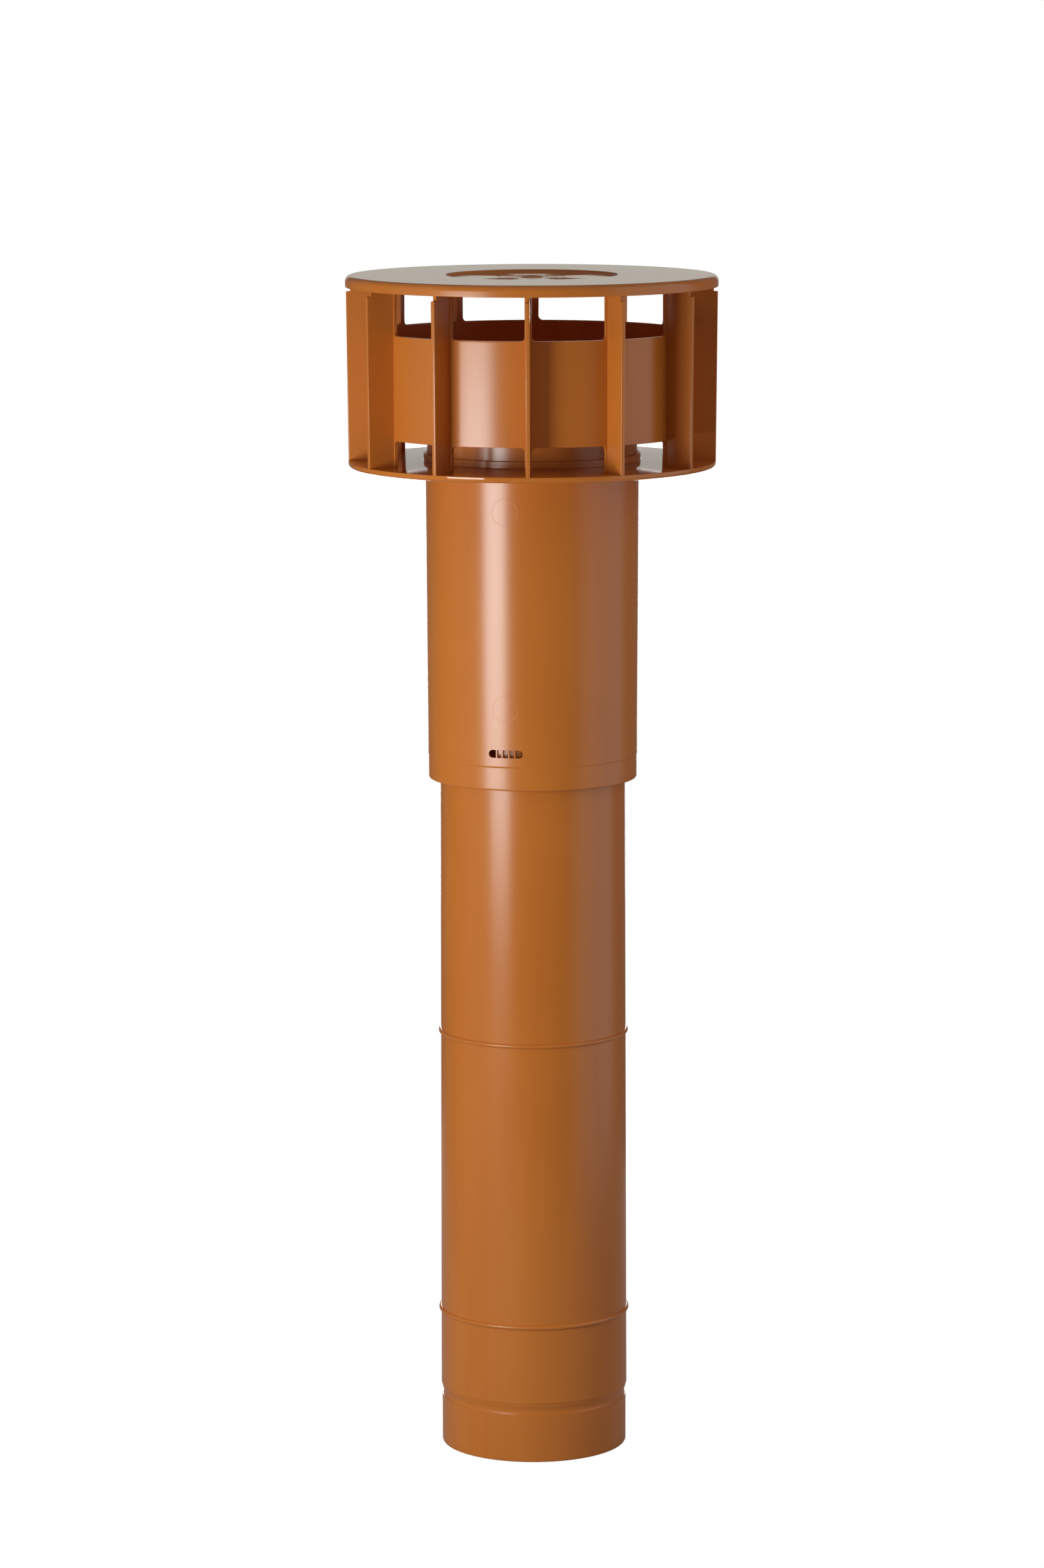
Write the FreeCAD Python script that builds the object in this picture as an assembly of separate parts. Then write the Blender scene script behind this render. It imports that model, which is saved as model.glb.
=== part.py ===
import FreeCAD, Part
import math
import os

# Roof vent terminal: a round cowl with a ring of vanes, on a sleeve and a long duct tube.
# Millimetres, +Z up along the duct. The origin is the centre of the tube's lower end,
# which the terminal stands on, and the sleeve's slot faces -Y.
# An azimuth of 0 degrees is the -Y side, and it grows towards +X.

# Duct tube
tube_d = 133.3
tube_out = 484.0
tube_draft = 0.148
tube_wall = 2.6
spigot_d = 132.0
spigot_len = 34.6
spigot_lead = 1.8
spigot_lead_in = 1.1
groove_width = 5.0
groove_depth = 1.5
groove_wall = 2.2
groove_ramp = 3.0
low_bead_z = 98.0
high_bead_z = 301.0
bead_r = 1.6

# Sleeve round the top of the tube
skirt_gap = 5.7
sleeve_len = 221.0
sleeve_wall = 2.5
sleeve_draft = 0.32
band_h = 17.0
band_step = 0.4
skirt_round = 1.1
shoulder_ledge = 1.15
neck_h = 47.0
neck_wall = 2.4
seat_drop = 15.0
seat_thick = 2.5
tube_clear = 0.3
fin_count = 6
fin_thick = 2.0
fin_len = 115.0
fin_lead = 9.0
fin_azimuth = 30.0

# Slot in the sleeve's skirt, in five cells between four bars
slot_up = 26.0
slot_len = 24.5
slot_h = 5.4
slot_bar = 1.0
slot_mid_cell = 3.8
slot_side_cell = 3.15

# Cowl: flange, shroud ring and vanes in one moulding
rim_h = 4.1
rim_wall = 4.6
rim_round = 3.0
flange_plate = 2.8
hub_clear = 0.25
hub_boss_wall = 3.2
collar_wall = 2.2
collar_h = 5.9
shroud_wall = 2.5
shroud_h = 72.9
low_window_h = 18.6
high_window_h = 36.3
window_round = 3.0
post_w = 4.8
vane_count = 12
vane_phase = 13.6
vane_thick = 3.0
vane_depth = 20.4
vane_taper = 1.2
vane_edge_bevel = 0.6
vane_gap = 3.6
flange_lip = 0.3

# Cap
cap_d = 262.2
cap_plate = 3.0
cap_rim_h = 8.1
cap_rim_wall = 3.0
cap_rim_round = 4.0
cap_clear = 0.4
cap_overhang = 0.5
dish_d = 122.0
dish_depth = 2.8
dish_slope = 2.2
dome_d = 19.0
dome_h = 1.1
mark_r = 26.0
mark_width = 2.2
mark_depth = 0.8
mark_arc = 36.0
mark_count = 4

# Small values shared by every piece: a corner is eased by a straight bevel of up to bevel_max,
# and a larger size rounds it in a few steps, which keeps the facets few
bevel_max = 1.2
round_steps = 2
bead_steps = 3
long_wall = 50.0
overlap = 1.0

V = FreeCAD.Vector
ORIGIN = V(0, 0, 0)
UP = V(0, 0, 1)

# Levels, from the tube's lower end upwards
groove_top = spigot_len + groove_width
skirt_z = tube_out
band_top = skirt_z + band_h
shoulder_z = skirt_z + sleeve_len
seat_z = shoulder_z - seat_drop
fin_foot = seat_z - fin_len
slot_zone = skirt_z + slot_up + slot_h
neck_top = shoulder_z + neck_h
rim_top = shoulder_z + rim_h
collar_top = rim_top + collar_h
shroud_low = rim_top + low_window_h
shroud_high = shroud_low + shroud_h
cap_seat = shroud_high + high_window_h
cap_top = cap_seat + cap_plate
cap_rim_low = cap_top - cap_rim_h
vane_top = cap_rim_low - vane_gap

# Radii that follow from one another
spigot_r = spigot_d / 2
groove_r = spigot_r - groove_depth
cap_r = cap_d / 2
cap_rim_in = cap_r - cap_rim_wall
tab_r = cap_rim_in - cap_clear
vane_top_r = cap_r - cap_overhang
vane_foot_r = vane_top_r - vane_taper
flange_r = vane_foot_r + flange_lip
shroud_r = vane_top_r - vane_depth
shroud_in = shroud_r - shroud_wall
vane_pitch = 360.0 / vane_count


def tube_r(z):
    """Outer radius of the tapered tube at a height."""
    return tube_d / 2 - math.tan(math.radians(tube_draft)) * (z - groove_top)


band_r = tube_r(skirt_z) + skirt_gap + sleeve_wall


def sleeve_r(z):
    """Outer radius of the sleeve at a height. It is straight up to its slot and drafted above."""
    return band_r + band_step + math.tan(math.radians(sleeve_draft)) * max(0, z - slot_zone)


fin_wall_r = sleeve_r(fin_foot) - sleeve_wall
neck_r = sleeve_r(shoulder_z) - shoulder_ledge
hub_r = neck_r + hub_clear
collar_r = hub_r + collar_wall


def eased_corner(before, corner, after, size):
    """Points that ease a corner: a straight bevel when the size is small, otherwise a stepped arc."""
    to_before = (before - corner).normalize()
    to_after = (after - corner).normalize()
    if size <= bevel_max:
        return [corner + to_before * size, corner + to_after * size]
    half = to_before.getAngle(to_after) / 2
    reach = size / math.tan(half)
    inward = (to_before + to_after).normalize()
    middle = corner + inward * (size / math.sin(half) - size)
    arc = Part.Arc(corner + to_before * reach, middle, corner + to_after * reach)
    return arc.discretize(round_steps + 1)


def outline(corners, spline_walls=False):
    """Closed face in the X-Z plane. A corner is (x, z), or (x, z, size) where it is eased.
    Long sloped walls can be splines, so that the facets of a turned solid run their full length."""
    corner_points = [V(corner[0], 0, corner[1]) for corner in corners]
    points = []
    for i, corner in enumerate(corners):
        if len(corner) == 3:
            after = corner_points[(i + 1) % len(corners)]
            points += eased_corner(corner_points[i - 1], corner_points[i], after, corner[2])
        else:
            points.append(corner_points[i])
    edges = []
    for i, end in enumerate(points):
        line = Part.LineSegment(points[i - 1], end)
        sloped = end.x != points[i - 1].x and end.z != points[i - 1].z
        as_spline = spline_walls and sloped and line.length() > long_wall
        edges.append((line.toBSpline() if as_spline else line).toShape())
    return Part.Face(Part.Wire(edges))


def turned(corners):
    """Solid of revolution about the duct's axis, from an outline of radii and heights."""
    return outline(corners, spline_walls=True).revolve(ORIGIN, UP, 360)


def at_azimuth(shape, azimuth):
    """Copy of a shape that was made along +X, turned to an azimuth."""
    copy = shape.copy()
    copy.rotate(ORIGIN, UP, azimuth - 90)
    return copy


def plate(corners, thickness):
    """Upright plate of an outline in the X-Z plane, centred on that plane."""
    solid = outline(corners).extrude(V(0, thickness, 0))
    solid.translate(V(0, -thickness / 2, 0))
    return solid


def bead(z):
    """Corners of a half-round bead at a height of the tube, from its lower edge to its upper edge."""
    corners = []
    for i in range(bead_steps + 1):
        angle = math.pi * i / bead_steps
        height = z - bead_r * math.cos(angle)
        corners.append((tube_r(height) + bead_r * math.sin(angle), height))
    return corners


def inner_tube():
    """Tapered duct tube with two half-round beads, and a spigot below a seal groove."""
    bore_r = spigot_r - tube_wall
    ridge_r = groove_r - groove_wall
    ridge_low = spigot_len - groove_ramp
    ridge_high = groove_top + groove_ramp
    return turned([
        (bore_r, 0),
        (spigot_r - spigot_lead_in, 0),
        (spigot_r, spigot_lead),
        (spigot_r, spigot_len),
        (groove_r, spigot_len),
        (groove_r, groove_top),
        (tube_r(groove_top), groove_top),
        *bead(low_bead_z),
        *bead(high_bead_z),
        (tube_r(seat_z), seat_z),
        (tube_r(seat_z) - tube_wall, seat_z),
        (tube_r(ridge_high + groove_ramp) - tube_wall, ridge_high + groove_ramp),
        (ridge_r, ridge_high),
        (ridge_r, ridge_low),
        (bore_r, ridge_low - groove_ramp),
    ])


def sleeve_body():
    """Sleeve wall with its lower band, the neck that carries the cowl, and the seat for the tube."""
    skirt_in = band_r + band_step - sleeve_wall
    seat_in = tube_r(seat_z) - tube_wall
    return turned([
        (skirt_in, skirt_z),
        (band_r, skirt_z, skirt_round),
        (band_r, band_top - band_step),
        (sleeve_r(band_top), band_top),
        (sleeve_r(slot_zone), slot_zone),
        (sleeve_r(shoulder_z), shoulder_z),
        (neck_r, shoulder_z),
        (neck_r, neck_top),
        (neck_r - neck_wall, neck_top),
        (neck_r - neck_wall, seat_z + seat_thick),
        (seat_in, seat_z + seat_thick),
        (seat_in, seat_z),
        (fin_wall_r, seat_z),
        (fin_wall_r, fin_foot),
        (skirt_in, slot_zone),
    ])


def centring_fins():
    """Upright fins inside the sleeve that hold it clear of the tube."""
    top = seat_z + overlap
    root = fin_wall_r + sleeve_wall / 2
    fin = plate([
        (root, fin_foot + overlap),
        (root, top),
        (tube_r(top) + tube_clear, top),
        (tube_r(fin_foot + fin_lead) + tube_clear, fin_foot + fin_lead),
    ], fin_thick)
    return [at_azimuth(fin, fin_azimuth + i * 360.0 / fin_count) for i in range(fin_count)]


def slot_cells():
    """Cutters for the slot's cells: a long hole with round ends, less the bars across it."""
    z = skirt_z + slot_up
    half = slot_h / 2
    straight = slot_len / 2 - half
    depth = sleeve_r(z) + overlap
    near = tube_r(z) + tube_clear
    ends = [
        Part.Arc(V(straight, 0, z - half), V(slot_len / 2, 0, z), V(straight, 0, z + half)).toShape(),
        Part.LineSegment(V(straight, 0, z + half), V(-straight, 0, z + half)).toShape(),
        Part.Arc(V(-straight, 0, z + half), V(-slot_len / 2, 0, z), V(-straight, 0, z - half)).toShape(),
        Part.LineSegment(V(-straight, 0, z - half), V(straight, 0, z - half)).toShape(),
    ]
    slot = Part.Face(Part.Wire(ends)).extrude(V(0, near - depth, 0))
    slot.translate(V(0, -near, 0))
    inner_bar = (slot_mid_cell + slot_bar) / 2
    outer_bar = inner_bar + slot_side_cell + slot_bar
    bars = []
    for x in (-outer_bar, -inner_bar, inner_bar, outer_bar):
        corner = V(x - slot_bar / 2, -depth - overlap, z - slot_h)
        bars.append(Part.makeBox(slot_bar, depth, 2 * slot_h, corner))
    return slot.cut(bars)


def outer_sleeve():
    """The sleeve moulding with its fins and its slot."""
    return sleeve_body().fuse(centring_fins()).cut(slot_cells()).removeSplitter()


def flange():
    """Flange with a rounded rim, a boss under its hub and a collar round the neck."""
    rim_in = flange_r - rim_wall
    boss_r = hub_r + hub_boss_wall
    return turned([
        (hub_r, shoulder_z),
        (boss_r, shoulder_z),
        (boss_r, rim_top - flange_plate),
        (rim_in, rim_top - flange_plate),
        (rim_in, shoulder_z),
        (flange_r, shoulder_z, rim_round),
        (flange_r, rim_top),
        (collar_r, rim_top),
        (collar_r, collar_top),
        (hub_r, collar_top),
    ])


def window_cutter(open_z, ring_z):
    """Cutter for one window between two posts, along +X, with round corners at the shroud ring."""
    half = shroud_r * math.sin(math.radians(vane_pitch / 2)) - post_w / 2
    face = outline([
        (-half, open_z),
        (half, open_z),
        (half, ring_z, window_round),
        (-half, ring_z, window_round),
    ])
    solid = face.extrude(V(0, -shroud_r, 0))
    solid.translate(V(0, -shroud_r / 2, 0))
    solid.rotate(ORIGIN, UP, 90)
    return solid


def shroud():
    """Ring wall on posts, with a row of windows below the ring and an open row above it."""
    foot = rim_top - overlap
    wall = turned([
        (shroud_in, foot),
        (shroud_r, foot),
        (shroud_r, cap_seat),
        (shroud_in, cap_seat),
    ])
    lower = window_cutter(foot - overlap, shroud_low)
    upper = window_cutter(cap_seat + overlap, shroud_high)
    cutters = []
    for i in range(vane_count):
        bay = vane_phase + (i + 0.5) * vane_pitch
        cutters += [at_azimuth(lower, bay), at_azimuth(upper, bay)]
    return wall.cut(cutters)


def vane():
    """One vane along +X, with a set-back tab on top that fits inside the cap's rim."""
    root = shroud_r - shroud_wall / 2
    foot = rim_top - overlap
    solid = plate([
        (root, foot),
        (vane_foot_r, foot),
        (vane_top_r, vane_top),
        (tab_r, vane_top),
        (tab_r, cap_seat),
        (root, cap_seat),
    ], vane_thick)
    front = [edge for edge in solid.Edges if min(v.X for v in edge.Vertexes) > tab_r
             and edge.Length > vane_top - foot - overlap]
    return solid.makeChamfer(vane_edge_bevel, front)


def vane_cage():
    """The cowl moulding: flange, shroud and vanes."""
    vanes = [at_azimuth(vane(), vane_phase + i * vane_pitch) for i in range(vane_count)]
    return flange().fuse([shroud()] + vanes).removeSplitter()


def cap_plate_solid():
    """Cap with a rounded rim and a shallow round dish, with a low gate dome and short arcs in it."""
    dish_r = dish_d / 2
    floor = cap_top - dish_depth
    disc = turned([
        (0, floor + dome_h),
        (dome_d / 4, floor + dome_h * 3 / 4),
        (dome_d / 2, floor),
        (dish_r - dish_slope, floor),
        (dish_r, cap_top),
        (cap_r, cap_top, cap_rim_round),
        (cap_r, cap_rim_low),
        (cap_rim_in, cap_rim_low),
        (cap_rim_in, cap_seat),
        (dish_r + cap_plate / 2, cap_seat),
        (dish_r - dish_slope + cap_plate / 2, cap_seat - dish_depth),
        (0, cap_seat - dish_depth),
    ])
    mark = outline([
        (mark_r - mark_width / 2, floor - mark_depth),
        (mark_r + mark_width / 2, floor - mark_depth),
        (mark_r + mark_width / 2, floor + mark_depth),
        (mark_r - mark_width / 2, floor + mark_depth),
    ]).revolve(ORIGIN, UP, mark_arc)
    marks = []
    for i in range(mark_count):
        marks.append(at_azimuth(mark, (i + 0.5) * 360.0 / mark_count - mark_arc / 2))
    return disc.cut(marks)


def main():
    """Write one STEP file for each moulded piece."""
    os.makedirs("parts", exist_ok=True)
    pieces = {
        "inner_tube": inner_tube(),
        "outer_sleeve": outer_sleeve(),
        "vane_cage": vane_cage(),
        "cap_plate": cap_plate_solid(),
    }
    for name, shape in pieces.items():
        shape.exportStep("parts/" + name + ".step")
        print(name, len(shape.Solids), "solid,", round(shape.Volume / 1000, 1), "cm3, valid", shape.isValid())


main()
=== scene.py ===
import math

import bmesh
import bpy
from mathutils import Euler, Matrix, Vector


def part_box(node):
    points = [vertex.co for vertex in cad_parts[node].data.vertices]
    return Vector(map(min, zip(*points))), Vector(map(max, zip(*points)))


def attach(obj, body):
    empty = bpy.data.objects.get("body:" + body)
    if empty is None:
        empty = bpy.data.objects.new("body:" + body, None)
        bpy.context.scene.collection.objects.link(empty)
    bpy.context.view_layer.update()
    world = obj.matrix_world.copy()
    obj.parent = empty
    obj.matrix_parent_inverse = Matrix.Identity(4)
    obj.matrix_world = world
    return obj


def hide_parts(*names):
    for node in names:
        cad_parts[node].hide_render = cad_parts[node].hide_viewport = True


bl_info = {
    "name": "Roof vent terminal",
    "version": (1, 0, 0),
    "blender": (4, 5, 0),
    "location": "3D View > Sidebar > Roof vent",
    "description": "Moulded roof vent terminal: cap, vaned cowl, slotted sleeve and duct tube",
    "category": "Object",
}

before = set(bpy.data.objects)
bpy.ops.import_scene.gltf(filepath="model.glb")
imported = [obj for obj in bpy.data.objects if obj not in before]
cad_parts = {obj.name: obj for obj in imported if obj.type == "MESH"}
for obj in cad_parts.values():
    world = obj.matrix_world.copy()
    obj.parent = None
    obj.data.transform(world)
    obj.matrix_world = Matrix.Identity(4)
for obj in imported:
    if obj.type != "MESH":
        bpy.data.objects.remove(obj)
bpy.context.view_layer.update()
tube_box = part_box("inner_tube")
sleeve_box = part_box("outer_sleeve")
cowl_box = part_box("vane_cage")
cap_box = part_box("cap_plate")

MM = 0.001
FULL_TURN = 2 * math.pi
ARC_STEP = math.radians(15)
SHARP_ANGLE = math.radians(34)
BEVEL_ANGLE = math.radians(45)
GUARD = 0.4 * MM
GUARD_SHARE = 0.3
SEAM_WIDTH = 0.35 * MM
SEAM_HEIGHT = 0.10


# Sizes and colours that a user may change

def length(name, size_mm, description):
    """Length property, with its default given in millimetres."""
    return bpy.props.FloatProperty(
        name=name, description=description, default=size_mm * MM, min=0, precision=5, unit="LENGTH")


def level(name, height, description):
    """Height property whose default is read from the frame, in metres."""
    return bpy.props.FloatProperty(
        name=name, description=description, default=height, precision=5, unit="LENGTH")


def angle(name, degrees, description):
    """Angle property, with its default given in degrees."""
    return bpy.props.FloatProperty(
        name=name, description=description, default=math.radians(degrees), subtype="ANGLE")


def amount(name, value, description):
    """Plain number."""
    return bpy.props.FloatProperty(name=name, description=description, default=value, precision=4)


def number(name, value, description):
    """Count of like things."""
    return bpy.props.IntProperty(name=name, description=description, default=value, min=1)


def colour(name, value, description):
    """Linear colour."""
    return bpy.props.FloatVectorProperty(
        name=name, description=description, default=value, size=3, min=0, max=1, subtype="COLOR")


class DuctTubeSizes(bpy.types.PropertyGroup):
    """Sizes of the duct tube"""

    segments: number("Segments", 256, "Facets round the tube")
    top: level("Top", tube_box[1].z, "Height of the tube's upper end")
    diameter: length("Diameter", 133.3, "Outer diameter just above the seal groove")
    draft: angle("Draft", 0.148, "Taper of the tube towards its top")
    wall: length("Wall", 2.6, "Wall thickness")
    spigot_d: length("Spigot diameter", 132.0, "Outer diameter of the end below the groove")
    spigot_len: length("Spigot length", 34.6, "Length of the end below the groove")
    lead_h: length("Lead height", 0.8, "Height of the spigot's lead-in")
    lead_in: length("Lead depth", 0.4, "Depth of the spigot's lead-in")
    groove_width: length("Groove width", 5.0, "Width of the seal groove")
    groove_depth: length("Groove depth", 0.9, "Depth of the seal groove below the spigot")
    groove_wall: length("Groove wall", 2.8, "Wall behind the seal groove")
    groove_ramp: length("Groove ramp", 3.0, "Height of the slopes behind the seal groove")
    groove_cove: length("Groove cove", 3.0, "Height of the cove by which the tube curves into the groove")
    groove_step: length("Groove step", 0.35, "Fine step where that cove begins")
    low_bead: length("Lower bead", 98.0, "Height of the lower bead")
    high_bead: length("Upper bead", 301.0, "Height of the upper bead")
    bead_r: length("Bead radius", 1.6, "Radius of the half-round beads")
    edge: length("Edge round", 0.5, "Round of the moulded edges")
    parting: angle("Parting line", -29.9, "Azimuth of the parting line")


class SleeveSizes(bpy.types.PropertyGroup):
    """Sizes of the sleeve"""

    segments: number("Segments", 320, "Facets round the sleeve")
    bottom: level("Bottom", sleeve_box[0].z, "Height of the skirt's lower edge")
    shoulder: level("Shoulder", cowl_box[0].z, "Height of the ledge that carries the cowl")
    top: level("Neck top", sleeve_box[1].z, "Height of the neck's upper edge")
    skirt_gap: length("Skirt gap", 5.8, "Clear width between the tube and the skirt")
    wall: length("Wall", 2.5, "Wall thickness")
    draft: angle("Draft", 0.32, "Widening of the sleeve towards its top")
    band_h: length("Band height", 17.0, "Height of the lower band")
    band_step: length("Band step", 0.3, "Step between the band and the sleeve")
    band_slope: length("Band slope", 0.8, "Height of the soft slope at that step")
    skirt_round: length("Skirt round", 1.1, "Round of the skirt's outer edge")
    ledge: length("Ledge", 1.15, "Width of the ledge below the cowl")
    neck_wall: length("Neck wall", 2.4, "Wall thickness of the neck")
    seat_thick: length("Seat", 2.5, "Thickness of the ring that the tube's end meets")
    edge: length("Edge round", 0.5, "Round of the moulded edges")
    slot_up: length("Slot height", 26.0, "Height of the slot's middle above the skirt's edge")
    slot_len: length("Slot length", 24.5, "Length of the slot")
    slot_h: length("Slot width", 5.4, "Height of the slot's opening")
    slot_bar: length("Slot bar", 1.0, "Width of the bars across the slot")
    slot_edge: length("Slot edge", 0.12, "Chamfer of the slot's outer edges")
    slot_mid_cell: length("Middle cell", 3.8, "Width of the slot's middle cell")
    slot_side_cell: length("Side cell", 3.15, "Width of the cells beside the middle one")
    fin_count: number("Fins", 6, "Fins that centre the tube")
    fin_first: angle("First fin", 30.0, "Azimuth of the first fin")
    fin_thick: length("Fin thickness", 2.0, "Thickness of the fins")
    fin_len: length("Fin length", 115.0, "Length of the fins")
    fin_lead: length("Fin lead", 9.0, "Height of the slope at a fin's foot")
    fin_clear: length("Fin clearance", 0.3, "Clear width between a fin and the tube")
    witness_d: length("Witness circle", 18.5, "Diameter of the ejector witness circles")
    witness_width: length("Witness width", 0.6, "Width of the witness circles' fine raised line")
    witness_h: length("Witness height", 0.09, "Height of the witness circles' fine raised line")
    witness_low: length("Lower witness", 541.7, "Height of the lower witness circle")
    witness_high: length("Upper witness", 679.4, "Height of the upper witness circle")


class CowlSizes(bpy.types.PropertyGroup):
    """Sizes of the cowl"""

    segments: number("Segments", 320, "Facets round the flange")
    bottom: level("Bottom", cowl_box[0].z, "Height of the flange's lower edge")
    top: level("Top", cowl_box[1].z, "Height of the posts' and tabs' upper ends")
    flange_r: level("Flange radius", -cowl_box[0].x, "Outer radius of the flange")
    rim_h: length("Rim height", 4.1, "Height of the flange's rim")
    rim_wall: length("Rim wall", 4.6, "Thickness of the flange's rim")
    rim_round: length("Rim round", 3.0, "Round of the rim's lower edge")
    plate: length("Flange plate", 2.8, "Thickness of the flange")
    rise: length("Flange rise", 1.0, "Rise of the flange from its rim to its hub")
    hub_clear: length("Hub clearance", 0.25, "Clear width between hub and neck")
    boss_wall: length("Boss wall", 3.2, "Thickness of the boss below the hub")
    collar_wall: length("Collar wall", 2.2, "Thickness of the collar round the neck")
    collar_h: length("Collar height", 5.9, "Height of the collar above the rim")
    shroud_r: length("Shroud radius", 110.2, "Outer radius of the shroud ring")
    shroud_wall: length("Shroud wall", 2.5, "Wall thickness of the shroud ring")
    shroud_h: length("Shroud height", 72.9, "Height of the shroud ring")
    low_window: length("Lower window", 18.6, "Height of the windows below the shroud ring")
    window_round: length("Window round", 3.0, "Round of the windows' corners")
    post_w: length("Post width", 4.8, "Width of the posts between the windows")
    vane_count: number("Vanes", 12, "Vanes round the shroud")
    vane_first: angle("First vane", 13.6, "Azimuth of the first vane")
    vane_thick: length("Vane thickness", 3.0, "Thickness of the vanes")
    vane_foot_r: length("Vane foot radius", 129.4, "Radius of the vanes' outer edge at the flange")
    vane_top_r: length("Vane top radius", 130.6, "Radius of the vanes' outer edge at its top")
    vane_top: length("Vane top", 828.2, "Height of the vanes' shoulders")
    tab_r: length("Tab radius", 127.7, "Radius of the tabs that fit inside the cap's rim")
    vane_edge: length("Vane edge", 0.6, "Round of the vanes' edges")
    edge: length("Edge round", 0.45, "Round of the moulded edges")
    overlap: length("Overlap", 1.0, "Depth by which joined forms sink into each other")


class CapSizes(bpy.types.PropertyGroup):
    """Sizes of the cap"""

    segments: number("Segments", 360, "Facets round the cap")
    radius: level("Radius", -cap_box[0].x, "Outer radius of the cap")
    bottom: level("Rim bottom", cap_box[0].z, "Height of the rim's lower edge")
    top: level("Top", cap_box[1].z, "Height of the cap's top")
    plate: length("Plate", 3.0, "Thickness of the cap's plate")
    rim_wall: length("Rim wall", 3.0, "Thickness of the cap's rim")
    rim_round: length("Rim round", 4.0, "Round of the rim's upper edge")
    edge: length("Edge round", 0.6, "Round of the rim's lower edges")
    dish_d: length("Dish diameter", 122.0, "Diameter of the shallow dish")
    dish_depth: length("Dish depth", 1.7, "Depth of the dish")
    dish_slope: length("Dish slope", 1.4, "Width of the dish's sloped wall")
    dish_round: length("Dish round", 0.6, "Round of the dish's edges")
    dome_d: length("Dome diameter", 19.0, "Diameter of the low dome in the middle")
    dome_h: length("Dome height", 1.6, "Height of the low dome")
    ridge_r: length("Ridge radius", 26.0, "Radius of the short ridges round the dome")
    ridge_width: length("Ridge width", 2.0, "Width of the short ridges")
    ridge_h: length("Ridge height", 0.3, "Height of the short ridges")
    ridge_arc: angle("Ridge arc", 38.0, "Arc of each short ridge")
    ridge_first: angle("First ridge", 63.0, "Azimuth of the first short ridge")
    ridge_count: number("Ridges", 4, "Short ridges round the dome")


class FinishSettings(bpy.types.PropertyGroup):
    """Colours and gloss of the moulded plastic"""

    terracotta: colour("Terracotta", (0.605, 0.178, 0.0245), "Main colour of the plastic")
    deep: colour("Deep tone", (0.565, 0.16, 0.021), "Darker tone where the pigment is denser")
    bloom: colour("Bloom", (0.56, 0.225, 0.085), "Pale tone of rubbed spots and dust specks")
    roughness: amount("Roughness", 0.26, "Gloss of the moulded surface")
    roughness_spread: amount("Roughness spread", 0.05, "How much the gloss varies")
    polish: amount("Polished faces", 0.07, "Gloss of the faces that were moulded on a polished plate")


class StudioSettings(bpy.types.PropertyGroup):
    """Camera, light and floor"""

    distance: length("Camera distance", 3800.0, "Distance of the camera from the duct's axis")
    height: length("Camera height", 1067.0, "Height of the camera above the floor")
    azimuth: angle("Camera azimuth", 14.9, "Side from which the camera looks")
    pitch: angle("Camera pitch", 7.98, "Downward tilt of the camera")
    roll: angle("Camera roll", -0.12, "Roll of the camera")
    lens: amount("Lens", 124.14, "Focal length in millimetres")
    shift_x: amount("Shift X", -0.0068, "Sideways shift of the frame")
    shift_y: amount("Shift Y", -0.05, "Upward shift of the frame")
    strip_azimuth: angle("Strip azimuth", -25.3, "Side on which the strip light stands")
    strip_distance: length("Strip distance", 1200.0, "Distance of the strip light from the axis")
    strip_height: length("Strip height", 505.0, "Height of the strip light's middle")
    strip_width: length("Strip width", 490.0, "Width of the strip light")
    strip_length: length("Strip length", 480.0, "Length of the strip light")
    strip_power: bpy.props.FloatProperty(
        name="Strip power", description="Power of the strip light", default=10.2, unit="POWER")
    strip_tint: colour("Strip tint", (0.93, 1.0, 1.0), "Colour of the strip light")
    back_distance: length("Back light distance", 1500.0, "Distance of the back light from the axis")
    back_height: length("Back light height", 430.0, "Height of the back light's middle")
    back_width: length("Back light width", 500.0, "Width of the back light")
    back_length: length("Back light length", 600.0, "Length of the back light")
    back_power: bpy.props.FloatProperty(
        name="Back light power", description="Power of the back light", default=9.0, unit="POWER")
    ambient: amount("Ambient", 0.10, "Level of the room's light at the sides")
    ceiling: amount("Ceiling", 0.22, "Light that the ceiling adds overhead")
    panel: amount("Fill panel", 0.84, "Level of the pale fill panel on the right")
    panel_from: angle("Panel from", 54.0, "Where the fill panel begins, from the camera to the right")
    panel_to: angle("Panel to", 115.0, "Where the fill panel ends")
    wing: amount("Wing", 0.32, "Level of the dim wing beside the strip light on the left")
    wing_from: angle("Wing from", -95.0, "Where the wing begins, from the camera to the right")
    wing_to: angle("Wing to", -60.0, "Where the wing ends")
    panel_soft: angle("Panel softness", 12.0, "Width of the fade at the edges of panel and wing")
    backdrop: amount("Backdrop", 0.52, "Level of the pale backdrop as the vent reflects it")
    backdrop_tint: colour("Backdrop tint", (1.0, 0.99, 0.9), "Colour of the pale backdrop")
    floor: colour("Floor", (0.36, 0.36, 0.36), "Colour of the floor")
    floor_size: length("Floor size", 1800.0, "Width of the floor")
    floor_glow: amount("Floor white", 1.14, "How white the floor looks to the camera")
    floor_share: amount("Floor share", 0.86, "Share of that white; the rest keeps the vent's shadow")
    floor_sheen: amount("Floor sheen", 0.06, "How white the floor looks in reflections")
    floor_drop: length("Floor drop", 0.2, "Clear height between the floor and the tube's end")


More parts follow.
